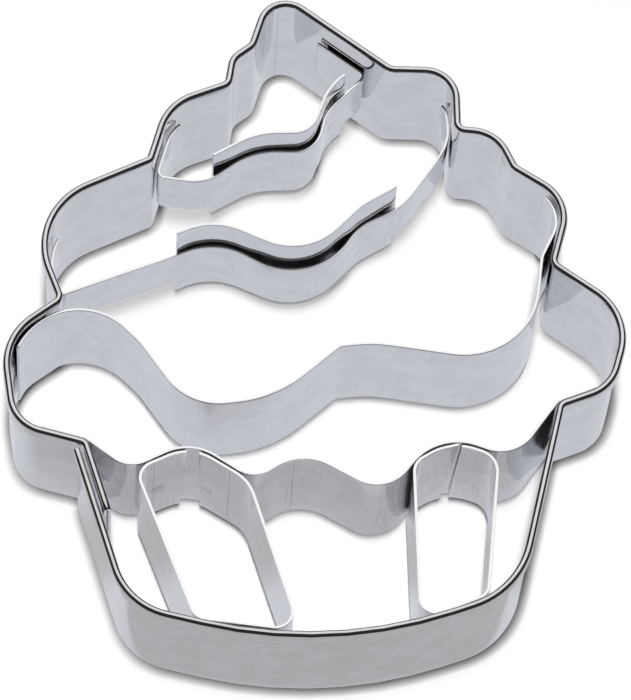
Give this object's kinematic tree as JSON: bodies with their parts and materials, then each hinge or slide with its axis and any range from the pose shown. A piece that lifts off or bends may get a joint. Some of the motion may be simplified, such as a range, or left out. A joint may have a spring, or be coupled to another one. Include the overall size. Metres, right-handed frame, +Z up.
{
  "type": "embossing cookie cutter",
  "caption": "Cupcake-shaped sheet-metal cookie cutter with a folded rim and inner strips that print frosting folds and cup pleats into the dough.",
  "frame": {"origin": "middle of the footprint at the cutting edge", "axes": "+Z up through the folded rim, +Y to the tip of the frosting, +X to the right as seen from above"},
  "size_m": [0.0658, 0.0728, 0.018],
  "materials": {
    "band_steel": "satin",
    "strip_steel": "satin"
  },
  "bodies": {
    "root": {"outline_band": "band_steel", "frosting_wave": "strip_steel", "cup_scallop": "strip_steel", "ribbon_bridge": "strip_steel", "ribbon_print": "strip_steel", "swirl_bridge": "strip_steel", "swirl_print": "strip_steel", "left_pleat": "strip_steel", "right_pleat": "strip_steel"}
  },
  "joints": []
}
